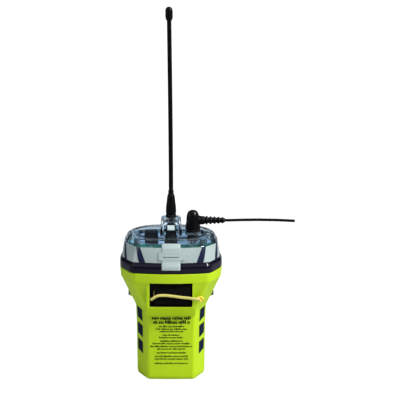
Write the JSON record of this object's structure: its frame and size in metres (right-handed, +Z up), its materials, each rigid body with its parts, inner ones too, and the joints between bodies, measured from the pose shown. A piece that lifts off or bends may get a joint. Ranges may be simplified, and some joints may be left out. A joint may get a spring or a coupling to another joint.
{
  "type": "distress radio beacon",
  "caption": "Floating distress beacon: flared octagonal case with a stowed line, clear dome with a lamp tower, sprung whip antenna, pull-off right-angle plug with a short lead.",
  "frame": {"origin": "middle of the flat base that it stands on", "axes": "+Z up along the whip, front with the pocket towards -Y, lead towards +X"},
  "size_m": [0.1897, 0.1042, 0.3988],
  "materials": {
    "case_green": "satin moulded plastic",
    "clear_dome": "clear moulded polycarbonate",
    "dark_band": "glossy dark blue-black plastic",
    "seal_rubber": "matt black rubber",
    "silver_tape": "silver retro-reflective tape",
    "white_label": "pale printed film",
    "navy_film": "dark blue printed film",
    "pad_fabric": "black woven cover over foam",
    "line_yellow": "braided buoyant line, pale yellow",
    "antenna_black": "satin black rubber",
    "brass": "turned brass",
    "black_plastic": "moulded black plastic",
    "nickel": "nickel-plated",
    "lamp_white": "pale lamp lens",
    "board_green": "green circuit board",
    "screw_steel": "stainless",
    "cell_wrap": "shrink-wrapped cell",
    "foam_grey": "closed-cell foam",
    "gold_contact": "gold-plated contact",
    "plug_black": "moulded black overmould",
    "copper": "tinned copper strands",
    "contact_steel": "dull stainless",
    "slider_orange": "orange moulded plastic",
    "magnet": "nickel-plated magnet",
    "button_blue": "dark blue moulded plastic"
  },
  "bodies": {
    "housing": {"lower_case": "case_green", "dome": "clear_dome", "rim_band": "dark_band", "dome_gasket": "seal_rubber", "antenna_washer": "seal_rubber", "socket_washer": "seal_rubber", "reflector_tape": "silver_tape", "seal_label": "white_label", "side_stripes": "navy_film", "lanyard_pad": "pad_fabric", "lanyard_hank": "line_yellow", "lanyard_line": "line_yellow", "lanyard_knot": "line_yellow", "standoffs": "brass", "antenna_base": "black_plastic", "lamp_holder": "black_plastic", "gnss_module": "black_plastic", "board_parts": "black_plastic", "main_parts": "black_plastic", "chassis": "black_plastic", "battery_cap": "black_plastic", "battery_cradle": "black_plastic", "socket_body": "black_plastic", "switch_panel": "black_plastic", "antenna_nut": "nickel", "socket_nut": "nickel", "contact_nuts": "nickel", "battery_tabs": "nickel", "rf_shield": "nickel", "lamp_led": "lamp_white", "top_board": "board_green", "main_board": "board_green", "top_screws": "screw_steel", "panel_screws": "screw_steel", "button_spring": "screw_steel", "battery_cells": "cell_wrap", "base_foam": "foam_grey", "socket_contacts": "gold_contact", "water_contacts": "contact_steel"},
    "lead": {"plug_body": "plug_black", "plug_insert": "black_plastic", "strain_relief": "plug_black", "lead_cable": "plug_black", "lead_conductors": "copper"},
    "whip": {"antenna_rod": "antenna_black", "antenna_tip": "antenna_black", "antenna_boot": "antenna_black", "antenna_ferrule": "brass"},
    "slider": {"switch_slider": "slider_orange", "slider_magnet": "magnet"},
    "button": {"test_button": "button_blue"}
  },
  "joints": [
    {"name": "plug_pull", "type": "slide", "parent": "housing", "child": "lead", "axis": [0, 0, 1], "range_m": [0, 0.014]},
    {"name": "whip_flex", "type": "hinge", "parent": "housing", "child": "whip", "pos_m": [0, 0, 0.178], "axis": [1, 0, 0], "range_deg": [-25, 25], "stiffness_Nm_per_rad": 0.08},
    {"name": "switch_slide", "type": "slide", "parent": "housing", "child": "slider", "axis": [0, 0, 1], "range_m": [0, 0.014]},
    {"name": "test_press", "type": "slide", "parent": "housing", "child": "button", "axis": [0, -1, 0], "range_m": [0, 0.0015], "stiffness_N_per_m": 300}
  ]
}
